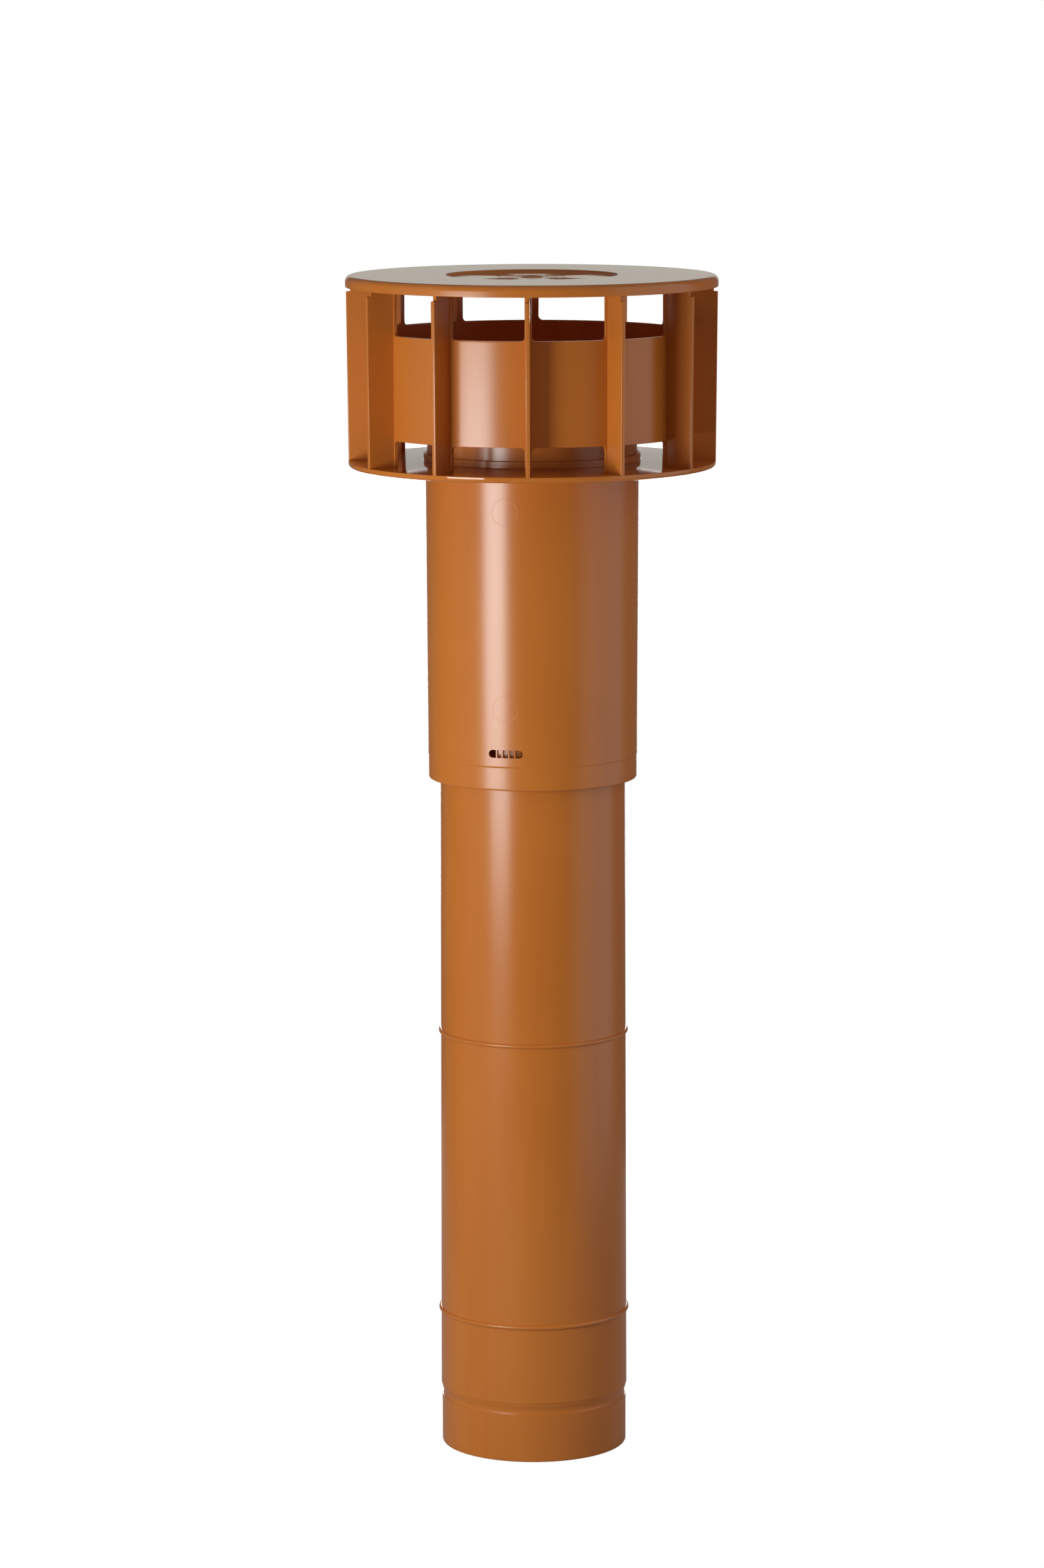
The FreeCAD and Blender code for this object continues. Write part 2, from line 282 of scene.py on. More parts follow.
class RoofVentSettings(bpy.types.PropertyGroup):
    """Everything that the operators read"""

    tube: bpy.props.PointerProperty(type=DuctTubeSizes, name="Tube", description="Sizes of the duct tube")
    sleeve: bpy.props.PointerProperty(type=SleeveSizes, name="Sleeve", description="Sizes of the sleeve")
    cowl: bpy.props.PointerProperty(type=CowlSizes, name="Cowl", description="Sizes of the cowl")
    cap: bpy.props.PointerProperty(type=CapSizes, name="Cap", description="Sizes of the cap")
    finish: bpy.props.PointerProperty(type=FinishSettings, name="Finish", description="Colours and gloss")
    studio: bpy.props.PointerProperty(type=StudioSettings, name="Studio", description="Camera and light")


# Node trees written as Python

def maths(operation, swapped=False):
    """Method by which a wire adds a Math node. The wire is the second value where they are swapped."""
    def method(self, other):
        return self.tree.math(operation, *((other, self) if swapped else (self, other)))
    return method


class Wire:
    """A node's output that takes part in Python maths: each operation adds a Math node."""

    def __init__(self, tree, socket):
        self.tree = tree
        self.socket = socket

    def also(self, name):
        """Another output of the same node."""
        return Wire(self.tree, enabled_socket(self.socket.node.outputs, name))

    __add__ = __radd__ = maths("ADD")
    __mul__ = __rmul__ = maths("MULTIPLY")
    __sub__ = maths("SUBTRACT")
    __rsub__ = maths("SUBTRACT", swapped=True)
    __truediv__ = maths("DIVIDE")

    def __neg__(self):
        return self * -1


def enabled_socket(sockets, key):
    """Socket by its place, or by its name among those that are in use."""
    if isinstance(key, int):
        return sockets[key]
    return next(socket for socket in sockets if socket.name == key and socket.enabled)


class Tree:
    """Adds nodes to one shader or geometry tree."""

    def __init__(self, node_tree):
        self.nodes = node_tree.nodes
        self.links = node_tree.links

    def add(self, kind, settings=None, inputs=None, output=0):
        """New node: its settings are set first, then its sockets' values or links."""
        node = self.nodes.new(kind)
        for name, value in (settings or {}).items():
            setattr(node, name, value)
        for key, value in (inputs or {}).items():
            socket = enabled_socket(node.inputs, key)
            if isinstance(value, Wire):
                self.links.new(value.socket, socket)
            else:
                socket.default_value = value
        if not node.outputs:
            return None
        return Wire(self, enabled_socket(node.outputs, output))

    def math(self, operation, *values):
        """Math node on wires and numbers."""
        return self.add("ShaderNodeMath", {"operation": operation}, dict(enumerate(values)))

    def between(self, value, low, high):
        """0 at the low limit and 1 at the high one, with a smooth change."""
        return self.add("ShaderNodeMapRange", {"interpolation_type": "SMOOTHSTEP"},
                        {"Value": value, "From Min": low, "From Max": high}, "Result")

    def split(self, vector):
        """The three parts of a vector."""
        x = self.add("ShaderNodeSeparateXYZ", inputs={0: vector}, output="X")
        return x, x.also("Y"), x.also("Z")

    def join(self, x, y, z):
        """Vector of three numbers."""
        return self.add("ShaderNodeCombineXYZ", inputs={0: x, 1: y, 2: z})

    def noise(self, place, scale, detail=2.0, roughness=0.5):
        """Noise value at a place."""
        return self.add("ShaderNodeTexNoise", inputs={
            "Vector": place, "Scale": scale, "Detail": detail, "Roughness": roughness})

    def stretched(self, place, scale, turn=(0, 0, 0)):
        """Place turned and scaled, for patterns that run in one direction."""
        return self.add("ShaderNodeMapping", inputs={"Vector": place, "Rotation": turn, "Scale": scale})

    def blend(self, factor, first, second):
        """Mix of two colours."""
        return self.add("ShaderNodeMix", {"data_type": "RGBA"},
                        {"Factor": factor, "A": first, "B": second}, "Result")


def fresh_tree(owner):
    """Builder for the emptied node tree of a material or world."""
    owner.use_nodes = True
    owner.node_tree.nodes.clear()
    return Tree(owner.node_tree)


# Geometry trees and plain meshes

def placed(name, data):
    """New object in the scene."""
    made = bpy.data.objects.new(name, data)
    bpy.context.scene.collection.objects.link(made)
    return made


def polar(radius, turn, height):
    """Place at a radius, an azimuth from -Y and a height."""
    return radius * math.sin(turn), -radius * math.cos(turn), height


def skin(shape, loops):
    """Faces that join each loop of verts to the next."""
    for near, far in zip(loops, loops[1:]):
        for i in range(len(near)):
            shape.faces.new((near[i - 1], near[i], far[i], far[i - 1]))


def geometry_tree(name, sockets):
    """New geometry tree with named inputs. Returns its builder, a wire for each input and its output."""
    group = bpy.data.node_groups.new(name, "GeometryNodeTree")
    for socket_name, kind in sockets.items():
        group.interface.new_socket(socket_name, in_out="INPUT", socket_type=kind)
    group.interface.new_socket("Mesh", in_out="OUTPUT", socket_type="NodeSocketGeometry")
    tree = Tree(group)
    start = tree.nodes.new("NodeGroupInput")
    wires = {socket_name: Wire(tree, start.outputs[socket_name]) for socket_name in sockets}
    return group, tree, wires


def close_tree(tree, geometry, finish, merge):
    """Ends a geometry tree: instances made real, doubles merged and the finish set."""
    real = tree.add("GeometryNodeRealizeInstances", inputs={"Geometry": geometry})
    merged = tree.add("GeometryNodeMergeByDistance", inputs={"Geometry": real, "Distance": merge})
    tree.add("NodeGroupOutput", inputs={
        "Mesh": tree.add("GeometryNodeSetMaterial", inputs={"Geometry": merged, "Material": finish})})


def turned_tree():
    """Geometry tree that turns a profile about the duct's axis. Closed is 1 for a ring and 0 for a disc."""
    group, tree, wires = geometry_tree("Turned piece", {
        "Profile": "NodeSocketGeometry", "Segments": "NodeSocketInt",
        "Closed": "NodeSocketInt", "Finish": "NodeSocketMaterial"})
    segments = wires["Segments"]
    count = tree.add("GeometryNodeAttributeDomainSize", {"component": "MESH"},
                     {"Geometry": wires["Profile"]}, "Point Count")
    columns = segments + 1
    grid = tree.add("GeometryNodeMeshGrid", inputs={
        "Vertices X": count + wires["Closed"], "Vertices Y": columns}, output="Mesh")
    index = tree.add("GeometryNodeInputIndex")
    row = tree.math("FLOOR", (index + 0.5) / columns)
    turn = (index - row * columns) / segments * FULL_TURN
    corner = tree.add("GeometryNodeSampleIndex", {"data_type": "FLOAT_VECTOR", "domain": "POINT"}, {
        "Geometry": wires["Profile"], "Value": tree.add("GeometryNodeInputPosition"),
        "Index": tree.math("MODULO", row, count)})
    radius, _, height = tree.split(corner)
    place = tree.join(radius * tree.math("SINE", turn), -(radius * tree.math("COSINE", turn)), height)
    moved = tree.add("GeometryNodeSetPosition", inputs={"Geometry": grid, "Position": place})
    close_tree(tree, moved, wires["Finish"], 1e-6)
    return group


def ring_tree():
    """Geometry tree that sets copies of a piece in a ring round the duct's axis."""
    group, tree, wires = geometry_tree("Ring of copies", {
        "Piece": "NodeSocketGeometry", "Count": "NodeSocketInt",
        "First": "NodeSocketFloat", "Finish": "NodeSocketMaterial"})
    count = wires["Count"]
    points = tree.add("GeometryNodePoints", inputs={"Count": count})
    index = tree.add("GeometryNodeInputIndex")
    turn = wires["First"] + index * FULL_TURN / count
    rotation = tree.add("FunctionNodeEulerToRotation", inputs={0: tree.join(0.0, 0.0, turn)})
    copies = tree.add("GeometryNodeInstanceOnPoints", inputs={
        "Points": points, "Instance": wires["Piece"], "Rotation": rotation})
    close_tree(tree, copies, wires["Finish"], 1e-5)
    return group


def tree_named(name, make):
    """Geometry tree of that name, made when it is first asked for."""
    return bpy.data.node_groups.get(name) or make()


def evaluated_mesh(start, set_modifiers):
    """Plain mesh of a start mesh after the modifiers that are put on it."""
    holder = placed("holder", start)
    set_modifiers(holder)
    graph = bpy.context.evaluated_depsgraph_get()
    mesh = bpy.data.meshes.new_from_object(holder.evaluated_get(graph), depsgraph=graph)
    bpy.data.objects.remove(holder)
    return mesh


def grown_mesh(start, group, values):
    """Plain mesh that a geometry tree makes of a start mesh."""
    def set_modifiers(holder):
        modifier = holder.modifiers.new("Shape", "NODES")
        modifier.node_group = group
        for item in group.interface.items_tree:
            if item.name in values:
                modifier[item.identifier] = values[item.name]
    return evaluated_mesh(start, set_modifiers)


def turned_mesh(points, segments, finish, closed=True):
    """Mesh of a profile of (radius, height) points turned about the duct's axis."""
    profile = bpy.data.meshes.new("profile")
    profile.from_pydata([(radius, 0, height) for radius, height in points], [], [])
    return grown_mesh(profile, tree_named("Turned piece", turned_tree), {
        "Segments": segments, "Closed": int(closed), "Finish": finish})


def ring_mesh(piece, count, first, finish):
    """Mesh of copies of a piece in a ring. The piece is made on the -Y side."""
    return grown_mesh(piece, tree_named("Ring of copies", ring_tree), {
        "Count": count, "First": first, "Finish": finish})


def eased(corners, closed=True):
    """Points of a profile. A corner is (radius, height), with a third number where it is rounded.
    A rounded corner gets a point just before and after it, so that the faces beside it stay true."""
    spots = [Vector(corner[:2]) for corner in corners]
    count = len(corners)

    def sides(i):
        """The ways from a corner to the one before it and to the one after it."""
        return spots[i - 1] - spots[i], spots[(i + 1) % count] - spots[i]

    def reach_of(i):
        """Length that a corner's round takes from each side."""
        if len(corners[i]) < 3 or not (closed or 0 < i < count - 1):
            return 0.0
        back, ahead = sides(i)
        return corners[i][2] / math.tan(back.angle(ahead) / 2)

    points = []
    for i, corner in enumerate(corners):
        reach = reach_of(i)
        spot = spots[i]
        if not reach:
            points.append(tuple(spot))
            continue
        back, ahead = sides(i)
        half = back.angle(ahead) / 2
        guard_back = min(GUARD, GUARD_SHARE * (back.length - reach - reach_of(i - 1)))
        guard_ahead = min(GUARD, GUARD_SHARE * (ahead.length - reach - reach_of((i + 1) % count)))
        back.normalize()
        ahead.normalize()
        centre = spot + (back + ahead).normalized() * (corner[2] / math.sin(half))
        start = spot + back * reach - centre
        sweep = start.angle_signed(spot + ahead * reach - centre)
        steps = max(3, math.ceil(abs(sweep) / ARC_STEP))
        points.append(tuple(spot + back * (reach + guard_back)))
        for step in range(steps + 1):
            points.append(tuple(centre + Matrix.Rotation(-sweep * step / steps, 2) @ start))
        points.append(tuple(spot + ahead * (reach + guard_ahead)))
    return points


def mesh_from(shape):
    """Mesh of a bmesh, which is freed."""
    mesh = bpy.data.meshes.new("shape")
    shape.to_mesh(mesh)
    shape.free()
    return mesh


def joined_mesh(meshes):
    """One mesh of several, with the faces of every shell outwards."""
    shape = bmesh.new()
    for mesh in meshes:
        shape.from_mesh(mesh)
    bmesh.ops.recalc_face_normals(shape, faces=shape.faces)
    return mesh_from(shape)


def cut_mesh(body, cutter):
    """Mesh of a body less a cutter."""
    tool = placed("cutter", cutter)

    def set_modifiers(holder):
        modifier = holder.modifiers.new("Cut", "BOOLEAN")
        modifier.operation = "DIFFERENCE"
        modifier.solver = "EXACT"
        modifier.object = tool
    mesh = evaluated_mesh(body, set_modifiers)
    bpy.data.objects.remove(tool)
    return mesh


def softened_mesh(mesh, width):
    """Mesh with its sharp edges rounded."""
    def set_modifiers(holder):
        modifier = holder.modifiers.new("Edges", "BEVEL")
        modifier.width = width
        modifier.segments = 3
        modifier.limit_method = "ANGLE"
        modifier.angle_limit = BEVEL_ANGLE
    return evaluated_mesh(mesh, set_modifiers)


def plate_mesh(corners, thickness, soft_from, soft):
    """Upright plate on the -Y side, from (radius, height) corners. Edges beyond a radius are rounded."""
    shape = bmesh.new()
    verts = [shape.verts.new((-thickness / 2, -radius, height)) for radius, height in corners]
    face = shape.faces.new(verts)
    grown = bmesh.ops.extrude_face_region(shape, geom=[face])
    moved = [item for item in grown["geom"] if isinstance(item, bmesh.types.BMVert)]
    bmesh.ops.translate(shape, verts=moved, vec=(thickness, 0, 0))
    bmesh.ops.recalc_face_normals(shape, faces=shape.faces)
    outer = [edge for edge in shape.edges if all(-vert.co.y > soft_from for vert in edge.verts)]
    if outer:
        bmesh.ops.bevel(shape, geom=outer, offset=soft, segments=3, profile=0.5,
                        affect="EDGES", clamp_overlap=True)
        sides = [face for face in shape.faces if abs(face.normal.x) > 0.99]
        bmesh.ops.inset_individual(shape, faces=sides, thickness=soft / 2)
    return mesh_from(shape)


def settled_piece(name, node, mesh, finish):
    """Object of a finished mesh that stands for a CAD node."""
    mesh.name = name
    mesh.materials.clear()
    mesh.materials.append(finish)
    mesh.shade_smooth()
    mesh.set_sharp_from_angle(angle=SHARP_ANGLE)
    piece = placed(name, mesh)
    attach(piece, "root")
    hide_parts(node)


# Moulded terracotta plastic

def seam(turn):
    """Height of a parting line at an azimuth and opposite to it, for a round piece."""
    def raised(tree, place):
        x, y, _ = tree.split(place)
        across = x * math.cos(turn) + y * math.sin(turn)
        return (1 - tree.between(tree.math("ABSOLUTE", across), 0.0, SEAM_WIDTH)) * SEAM_HEIGHT
    return raised


def plastic(name, raised=None, polished=None):
    """Semi-gloss moulded plastic: pigment clouds, flow streaks, rubbed hairlines, specks and a fine skin.
    The raised function adds heights of moulding marks; the polished one says which faces are glossier."""
    finish = bpy.context.scene.roof_vent.finish
    material = bpy.data.materials.new(name)
    tree = fresh_tree(material)
    place = tree.add("ShaderNodeTexCoord", output="Object")

    clouds = tree.noise(tree.stretched(place, (1, 1, 0.4)), 9.0, detail=4.0, roughness=0.6)
    streaks = tree.noise(tree.stretched(place, (1, 1, 0.06)), 60.0, detail=3.0)
    tone = tree.between(clouds * 0.7 + streaks * 0.3, 0.38, 0.62)

    hairs_up = tree.noise(tree.stretched(place, (1, 1, 0.02), (0.25, 0.12, 0)), 900.0, detail=1.0)
    hairs_round = tree.noise(tree.stretched(place, (0.05, 0.05, 1), (0.1, -0.15, 0)), 700.0, detail=1.0)
    rubbed = tree.between(tree.noise(place, 14.0, detail=3.0), 0.52, 0.7)
    hairline = rubbed * tree.math(
        "MAXIMUM", tree.between(hairs_up, 0.70, 0.78), tree.between(hairs_round, 0.71, 0.79))

    cells = tree.add("ShaderNodeTexVoronoi", {"feature": "F1"},
                     {"Vector": place, "Scale": 170.0}, "Distance")
    chance, _, _ = tree.split(cells.also("Color"))
    speck = (1 - tree.between(cells, 0.03, 0.09)) * tree.math("GREATER_THAN", chance, 0.93)

    body = tree.blend(tone, (*finish.deep, 1), (*finish.terracotta, 1))
    worn = tree.blend(hairline * 0.08 + speck * 0.4, body, (*finish.bloom, 1))

    skin = tree.noise(place, 1400.0, detail=2.0)
    waves = tree.noise(place, 30.0, detail=2.0)
    roughness = finish.roughness + (clouds - 0.5) * finish.roughness_spread * 2 \
        + hairline * 0.04 + speck * 0.12 + (skin - 0.5) * 0.02
    height = skin * 0.002 + waves * 0.12 - hairline * 0.008 + speck * 0.03
    if polished:
        gloss = polished(tree, place)
        roughness = roughness * (1 - gloss) + gloss * finish.polish
        height = height * (1 - gloss * 0.7)
    if raised:
        height = height + raised(tree, place)
    normal = tree.add("ShaderNodeBump", inputs={"Strength": 0.6, "Distance": 0.5 * MM, "Height": height})
    shader = tree.add("ShaderNodeBsdfPrincipled", inputs={
        "Base Color": worn, "Roughness": roughness, "Normal": normal, "IOR": 1.49})
    tree.add("ShaderNodeOutputMaterial", inputs={"Surface": shader})
    return material


# Radii that several pieces share

def tube_r(tube, height):
    """Outer radius of the tapered tube at a height."""
    groove_top = tube.spigot_len + tube.groove_width
    return tube.diameter / 2 - math.tan(tube.draft) * (height - groove_top)


def band_r(sleeve, tube):
    """Outer radius of the sleeve's lower band."""
    return tube_r(tube, sleeve.bottom) + sleeve.skirt_gap + sleeve.wall


def sleeve_r(sleeve, tube, height):
    """Outer radius of the sleeve at a height. It is straight up to its slot and drafted above."""
    slot_zone = sleeve.bottom + sleeve.slot_up + sleeve.slot_h
    return band_r(sleeve, tube) + sleeve.band_step + math.tan(sleeve.draft) * max(0, height - slot_zone)


# Operators

class ROOFVENT_OT_duct_tube(bpy.types.Operator):
    """Make the tapered duct tube with its beads, seal groove and spigot"""

    bl_idname = "roof_vent.duct_tube"
    bl_label = "Duct tube"

    def execute(self, context):
        sizes = context.scene.roof_vent.tube
        finish = plastic("terracotta_tube", seam(sizes.parting))
        mesh = turned_mesh(self.profile(sizes), sizes.segments, finish)
        settled_piece("tube_shell", "inner_tube", joined_mesh([mesh]), finish)
        return {"FINISHED"}

    @staticmethod
    def bead(sizes, height):
        """Points of a half-round bead at a height, with a point of the tube just below and above it."""
        steps = 12
        foot = 1.25 * sizes.bead_r
        points = [(tube_r(sizes, height - foot), height - foot)]
        for step in range(steps + 1):
            turn = math.pi * step / steps
            up = height - sizes.bead_r * math.cos(turn)
            points.append((tube_r(sizes, up) + sizes.bead_r * math.sin(turn), up))
        points.append((tube_r(sizes, height + foot), height + foot))
        return points

    @staticmethod
    def groove(sizes, groove_r):
        """Points of the seal groove: up from the spigot's edge, inwards, and out by a cove to a fine step."""
        low = sizes.spigot_len
        high = low + sizes.groove_width + sizes.groove_cove
        top_r = tube_r(sizes, high) - sizes.groove_step
        lip = 0.3 * sizes.groove_depth
        lip_h = 2 * MM
        lip_steps, cove_steps = 6, 12
        points = []
        for step in range(lip_steps + 1):
            share = step / lip_steps
            points.append((groove_r + lip * (1 - share) ** 2, low + lip_h * share))
        for step in range(1, cove_steps + 1):
            share = step / cove_steps
            points.append((groove_r + (top_r - groove_r) * share ** 2 * (3 - 2 * share),
                           low + lip_h + (high - low - lip_h) * share))
        return points + [(tube_r(sizes, high), high + sizes.groove_step)]

    def profile(self, sizes):
        """Profile of the tube, from the bore's lower edge round the outside and back down the bore."""
        edge = sizes.edge
        spigot_r = sizes.spigot_d / 2
        groove_r = spigot_r - sizes.groove_depth
        groove_top = sizes.spigot_len + sizes.groove_width
        bore_r = spigot_r - sizes.wall
        ridge_r = groove_r - sizes.groove_wall
        ridge_low = sizes.spigot_len - sizes.groove_ramp
        ridge_high = groove_top + sizes.groove_ramp

        ramp_top = ridge_high + sizes.groove_ramp
        return eased([
            (bore_r, 0.0, edge),
            (spigot_r - sizes.lead_in, 0.0, edge / 2),
            (spigot_r, sizes.lead_h, edge / 2),
            (spigot_r, sizes.spigot_len, edge / 2),
            *self.groove(sizes, groove_r),
            *self.bead(sizes, sizes.low_bead),
            *self.bead(sizes, sizes.high_bead),
            (tube_r(sizes, sizes.top), sizes.top),
            (tube_r(sizes, sizes.top) - sizes.wall, sizes.top),
            (tube_r(sizes, ramp_top) - sizes.wall, ramp_top),
            (ridge_r, ridge_high),
            (ridge_r, ridge_low),
            (bore_r, ridge_low - sizes.groove_ramp),
        ])


class ROOFVENT_OT_sleeve(bpy.types.Operator):
    """Make the sleeve with its lower band, slot, neck, seat and centring fins"""

    bl_idname = "roof_vent.sleeve"
    bl_label = "Sleeve"

    def execute(self, context):
        sizes = context.scene.roof_vent.sleeve
        tube = context.scene.roof_vent.tube
        finish = plastic("terracotta_sleeve", seam(math.pi / 2))
        body = turned_mesh(self.profile(sizes, tube), sizes.segments, finish)
        body = cut_mesh(joined_mesh([body]), self.slot_cells(sizes, tube))
        fins = ring_mesh(self.fin(sizes, tube), sizes.fin_count, sizes.fin_first, finish)
        rings = self.witness_rings(sizes, tube)
        settled_piece("sleeve_shell", "outer_sleeve", joined_mesh([body, fins, rings]), finish)
        return {"FINISHED"}

    def profile(self, sizes, tube):
        """Profile of the sleeve, from the skirt's inner edge round the outside, over the neck and back."""
        def outer(height):
            return sleeve_r(sizes, tube, height)

        band = band_r(sizes, tube)
        edge = sizes.edge
        band_top = sizes.bottom + sizes.band_h
        slot_z = sizes.bottom + sizes.slot_up
        slot_zone = slot_z + sizes.slot_h
        slot_guard = 0.75 * sizes.slot_h
        fin_foot = tube.top - sizes.fin_len
        fin_wall = outer(fin_foot) - sizes.wall
        skirt_in = band + sizes.band_step - sizes.wall
        neck_r = outer(sizes.shoulder) - sizes.ledge
        seat_in = tube_r(tube, tube.top) - tube.wall
        seat_top = tube.top + sizes.seat_thick
        slope = 1.5 * sizes.band_slope
        return eased([
            (skirt_in, sizes.bottom, edge),
            (band, sizes.bottom, sizes.skirt_round),
            (band, band_top - sizes.band_slope, slope),
            (outer(band_top), band_top, slope),
            (outer(slot_z), slot_z - slot_guard),
            (outer(slot_z), slot_z + slot_guard),
            (outer(slot_zone), slot_zone),
            (outer(sizes.shoulder), sizes.shoulder, edge),
            (neck_r, sizes.shoulder, edge / 2),
            (neck_r, sizes.top, edge),
            (neck_r - sizes.neck_wall, sizes.top, edge),
            (neck_r - sizes.neck_wall, seat_top, edge),
            (seat_in, seat_top, edge),
            (seat_in, tube.top),
            (fin_wall, tube.top),
            (fin_wall, fin_foot),
            (skirt_in, slot_zone),
            (skirt_in, slot_z + slot_guard),
            (skirt_in, slot_z - slot_guard),
        ])

    @staticmethod
    def fin(sizes, tube):
        """One centring fin on the -Y side."""
        foot = tube.top - sizes.fin_len
        lead = foot + sizes.fin_lead
        root = sleeve_r(sizes, tube, foot) - sizes.wall / 2
        clear = sizes.fin_clear
        return plate_mesh([
            (root, foot + MM),
            (root, tube.top),
            (tube_r(tube, tube.top) + clear, tube.top),
            (tube_r(tube, lead) + clear, lead),
        ], sizes.fin_thick, root, 0.0)

    @staticmethod
    def witness_rings(sizes, tube):
        """Witness circles: fine raised rings that follow the sleeve's front and are sunk into its wall."""
        steps = 96
        width, rise = sizes.witness_width, sizes.witness_h
        corners = [(-width, rise), (0, -rise), (width, rise)]
        shape = bmesh.new()
        for middle in (sizes.witness_low, sizes.witness_high):
            loops = []
            for step in range(steps):
                turn = FULL_TURN * step / steps
                loop = []
                for across, inwards in corners:
                    x = (sizes.witness_d / 2 + across) * math.sin(turn)
                    z = middle + (sizes.witness_d / 2 + across) * math.cos(turn)
                    front = math.sqrt(sleeve_r(sizes, tube, z) ** 2 - x ** 2)
                    loop.append(shape.verts.new((x, inwards - front, z)))
                loops.append(loop)
            skin(shape, loops + loops[:1])
        bmesh.ops.recalc_face_normals(shape, faces=shape.faces)
        return mesh_from(shape)

    @staticmethod
    def slot_cells(sizes, tube):
        """Cutters for the slot's cells: a long hole with round ends, less the bars across it.
        They flare outside, which chamfers the cells' edges."""
        slot_z = sizes.bottom + sizes.slot_up
        half = sizes.slot_h / 2
        straight = sizes.slot_len / 2 - half
        outer = sleeve_r(sizes, tube, slot_z)
        soft = sizes.slot_edge
        rings = [(2 * soft, outer + soft), (0.0, outer - soft), (0.0, tube_r(tube, slot_z) + MM)]
        mid = sizes.slot_mid_cell / 2
        side = mid + sizes.slot_bar
        far = side + sizes.slot_side_cell
        last = far + sizes.slot_bar
        end = sizes.slot_len / 2
        cells = [(-end, -last), (-far, -side), (-mid, mid), (side, far), (last, end)]
        shape = bmesh.new()
        for left, right in cells:
            steps = 16 if max(-left, right) > straight else 1
            across = [left + (right - left) * (1 - math.cos(math.pi * i / steps)) / 2
                      for i in range(steps + 1)]
            heights = [math.sqrt(max(0, half ** 2 - max(0, abs(x) - straight) ** 2)) for x in across]
            upper = [(x, slot_z + height) for x, height in zip(across, heights)]
            lower = [(x, slot_z - height) for x, height in zip(across, heights) if height > 1e-6]
            loops = []
            for spread, radius in rings:
                wide = 1 + 2 * spread / (right - left)
                tall = 1 + spread / half
                loop = []
                for x, z in upper + lower[::-1]:
                    x = (left + right) / 2 * (1 - wide) + x * wide
                    y = -math.sqrt(radius ** 2 - x ** 2)
                    loop.append(shape.verts.new((x, y, slot_z + (z - slot_z) * tall)))
                loops.append(loop)
            skin(shape, loops)
            shape.faces.new(loops[0][::-1])
            shape.faces.new(loops[-1])
        return mesh_from(shape)


